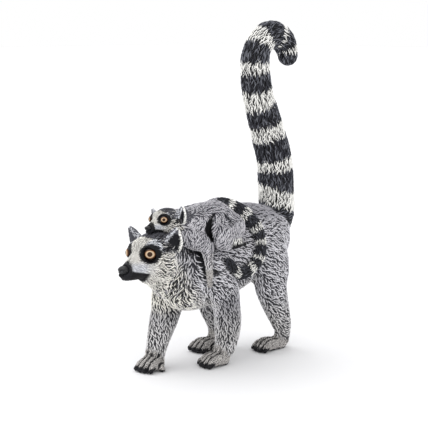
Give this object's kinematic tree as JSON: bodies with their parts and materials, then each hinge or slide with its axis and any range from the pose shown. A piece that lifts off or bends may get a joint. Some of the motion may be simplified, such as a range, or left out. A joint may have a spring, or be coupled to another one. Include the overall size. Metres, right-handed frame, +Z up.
{
  "type": "lemur figurine",
  "caption": "Moulded plastic figurine of a ring-tailed lemur walking on all fours, ringed tail raised and hooked at the tip, with its young clinging to its back. Stands on flat soles.",
  "frame": {"origin": "centre of the bounding box at the level of the soles", "axes": "+Z up, -Y the way the animal walks, +X its left side"},
  "size_m": [0.0264, 0.0698, 0.0997],
  "materials": {
    "grey_coat": "painted grey over moulded fur, dark in the grooves, satin",
    "face_coat": "painted cream over moulded fur, satin",
    "ringed_coat": "painted in black and white rings, satin",
    "paw": "painted pale grey-brown with black soles, satin",
    "ear": "painted black inside with a pale rim, satin",
    "bare_skin": "painted black, satin",
    "eye": "painted orange iris and black pupil, glossy"
  },
  "bodies": {
    "root": {"ear_left": "ear", "ear_right": "ear", "eye_left": "eye", "eye_right": "eye", "foot_left": "paw", "foot_right": "paw", "fore_leg_left": "grey_coat", "fore_leg_right": "grey_coat", "hand_left": "paw", "hand_right": "paw", "head": "face_coat", "hind_leg_left": "grey_coat", "hind_leg_right": "grey_coat", "neck": "grey_coat", "nose": "bare_skin", "tail_hook": "ringed_coat", "tail_lower": "ringed_coat", "tail_root": "ringed_coat", "tail_tip": "ringed_coat", "tail_upper": "ringed_coat", "trunk": "grey_coat", "young_arm_left": "grey_coat", "young_arm_right": "grey_coat", "young_ear_left": "ear", "young_ear_right": "ear", "young_eye_left": "eye", "young_eye_right": "eye", "young_foot_left": "paw", "young_foot_right": "paw", "young_hand_left": "paw", "young_hand_right": "paw", "young_head": "face_coat", "young_leg_left": "grey_coat", "young_leg_right": "grey_coat", "young_nose": "bare_skin", "young_tail_middle": "ringed_coat", "young_tail_root": "ringed_coat", "young_tail_tip": "ringed_coat", "young_trunk": "grey_coat"}
  },
  "joints": []
}
